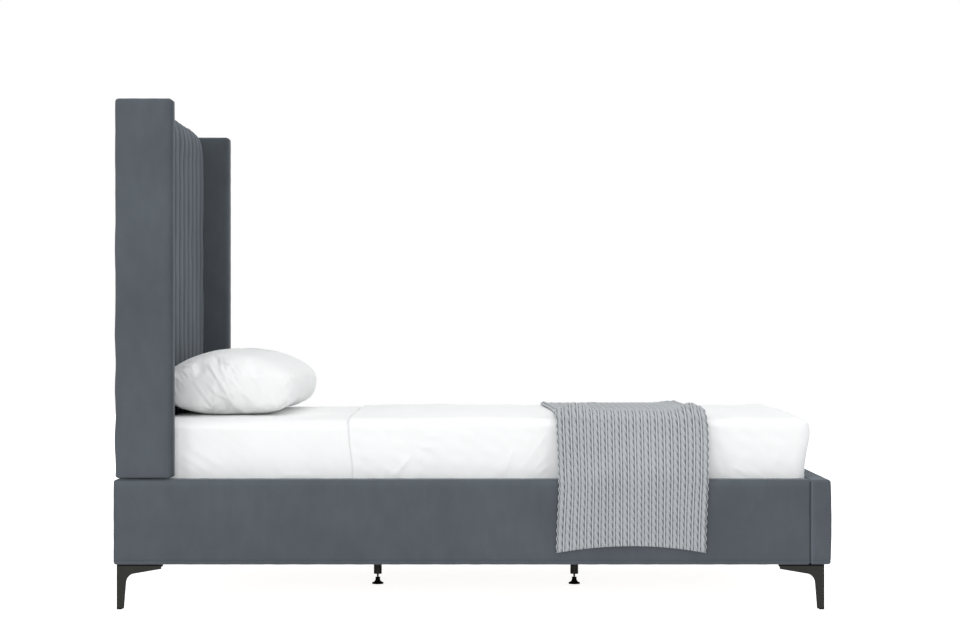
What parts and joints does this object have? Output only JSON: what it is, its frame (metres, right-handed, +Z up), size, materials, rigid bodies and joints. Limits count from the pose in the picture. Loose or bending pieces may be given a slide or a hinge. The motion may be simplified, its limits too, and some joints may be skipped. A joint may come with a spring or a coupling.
{
  "type": "upholstered bed",
  "caption": "Single wingback bed in grey-blue velvet with an upright channelled headboard, padded rails, slim metal legs, a mattress, sheets, a pillow and a knitted throw.",
  "frame": {"origin": "centre of the footprint, on the floor", "axes": "+X from the headboard towards the footboard, +Z up, and -Y is the left side as seen from the foot"},
  "size_m": [2.063, 1.126, 1.4819],
  "materials": {
    "velvet": "matte",
    "dust_cloth": "matte",
    "pine": "matte",
    "plywood": "matte",
    "slat_wood": "matte",
    "bronze_paint": "satin",
    "zinc_steel": "satin",
    "black_steel": "satin",
    "black_plastic": "matte",
    "ticking": "matte",
    "white_cotton": "matte",
    "grey_knit": "matte"
  },
  "bodies": {
    "bed_frame": {"beam_hangers": "zinc_steel", "centre_beam": "pine", "corner_angles": "zinc_steel", "corner_bolts": "zinc_steel", "corner_leg_foot_left": "bronze_paint", "corner_leg_foot_right": "bronze_paint", "corner_leg_head_left": "bronze_paint", "corner_leg_head_right": "bronze_paint", "footboard_board": "pine", "footboard_cover": "velvet", "hanger_screws": "zinc_steel", "head_rail_board": "pine", "head_rail_cover": "velvet", "headboard_back_cover": "dust_cloth", "headboard_crossbar_bottom": "pine", "headboard_crossbar_middle": "pine", "headboard_crossbar_top": "pine", "headboard_pad": "velvet", "headboard_plywood": "plywood", "headboard_post_left": "pine", "headboard_post_right": "pine", "ledger_left": "pine", "ledger_right": "pine", "ledger_screws": "zinc_steel", "leg_pads": "black_plastic", "leg_screws": "zinc_steel", "leg_spacers": "black_plastic", "rail_board_left": "pine", "rail_board_right": "pine", "rail_cover_left": "velvet", "rail_cover_right": "velvet", "slat_01": "slat_wood", "slat_02": "slat_wood", "slat_03": "slat_wood", "slat_04": "slat_wood", "slat_05": "slat_wood", "slat_06": "slat_wood", "slat_07": "slat_wood", "slat_08": "slat_wood", "slat_09": "slat_wood", "slat_10": "slat_wood", "slat_11": "slat_wood", "slat_12": "slat_wood", "support_plugs": "black_plastic", "support_tube_foot": "black_steel", "support_tube_head": "black_steel", "wing_board_left": "pine", "wing_board_right": "pine", "wing_bolts": "zinc_steel", "wing_cover_left": "velvet", "wing_cover_right": "velvet"},
    "bedding": {"mattress": "ticking", "fitted_sheet": "white_cotton", "top_sheet": "white_cotton"},
    "pillow_body": {"pillow": "white_cotton"},
    "throw_body": {"throw": "grey_knit"},
    "screw_stem_head": {"glide_stem_head": "zinc_steel"},
    "screw_foot_head": {"glide_foot_head": "black_plastic"},
    "screw_stem_foot": {"glide_stem_foot": "zinc_steel"},
    "screw_foot_foot": {"glide_foot_foot": "black_plastic"}
  },
  "joints": [
    {"name": "mattress_lift", "type": "slide", "parent": "bed_frame", "child": "bedding", "axis": [0, 0, 1], "range_m": [0, 0.35]},
    {"name": "pillow_lift", "type": "slide", "parent": "bedding", "child": "pillow_body", "axis": [0, 0, 1], "range_m": [0, 0.25]},
    {"name": "throw_lift", "type": "slide", "parent": "bedding", "child": "throw_body", "axis": [0, 0, 1], "range_m": [0, 0.25]},
    {"name": "head_stem_travel", "type": "slide", "parent": "bed_frame", "child": "screw_stem_head", "axis": [0, 0, 1], "range_m": [0, 0.01]},
    {"name": "head_foot_turn", "type": "hinge", "parent": "screw_stem_head", "child": "screw_foot_head", "pos_m": [-0.312, 0, 0.0105], "axis": [0, 0, 1], "range_deg": [0, 3600]},
    {"name": "foot_stem_travel", "type": "slide", "parent": "bed_frame", "child": "screw_stem_foot", "axis": [0, 0, 1], "range_m": [0, 0.01]},
    {"name": "foot_foot_turn", "type": "hinge", "parent": "screw_stem_foot", "child": "screw_foot_foot", "pos_m": [0.312, 0, 0.0105], "axis": [0, 0, 1], "range_deg": [0, 3600]}
  ],
  "couplings": [
    {"joint": "head_foot_turn", "follows": "head_stem_travel", "rad_per_m": 6283.1},
    {"joint": "foot_foot_turn", "follows": "foot_stem_travel", "rad_per_m": 6283.1}
  ]
}
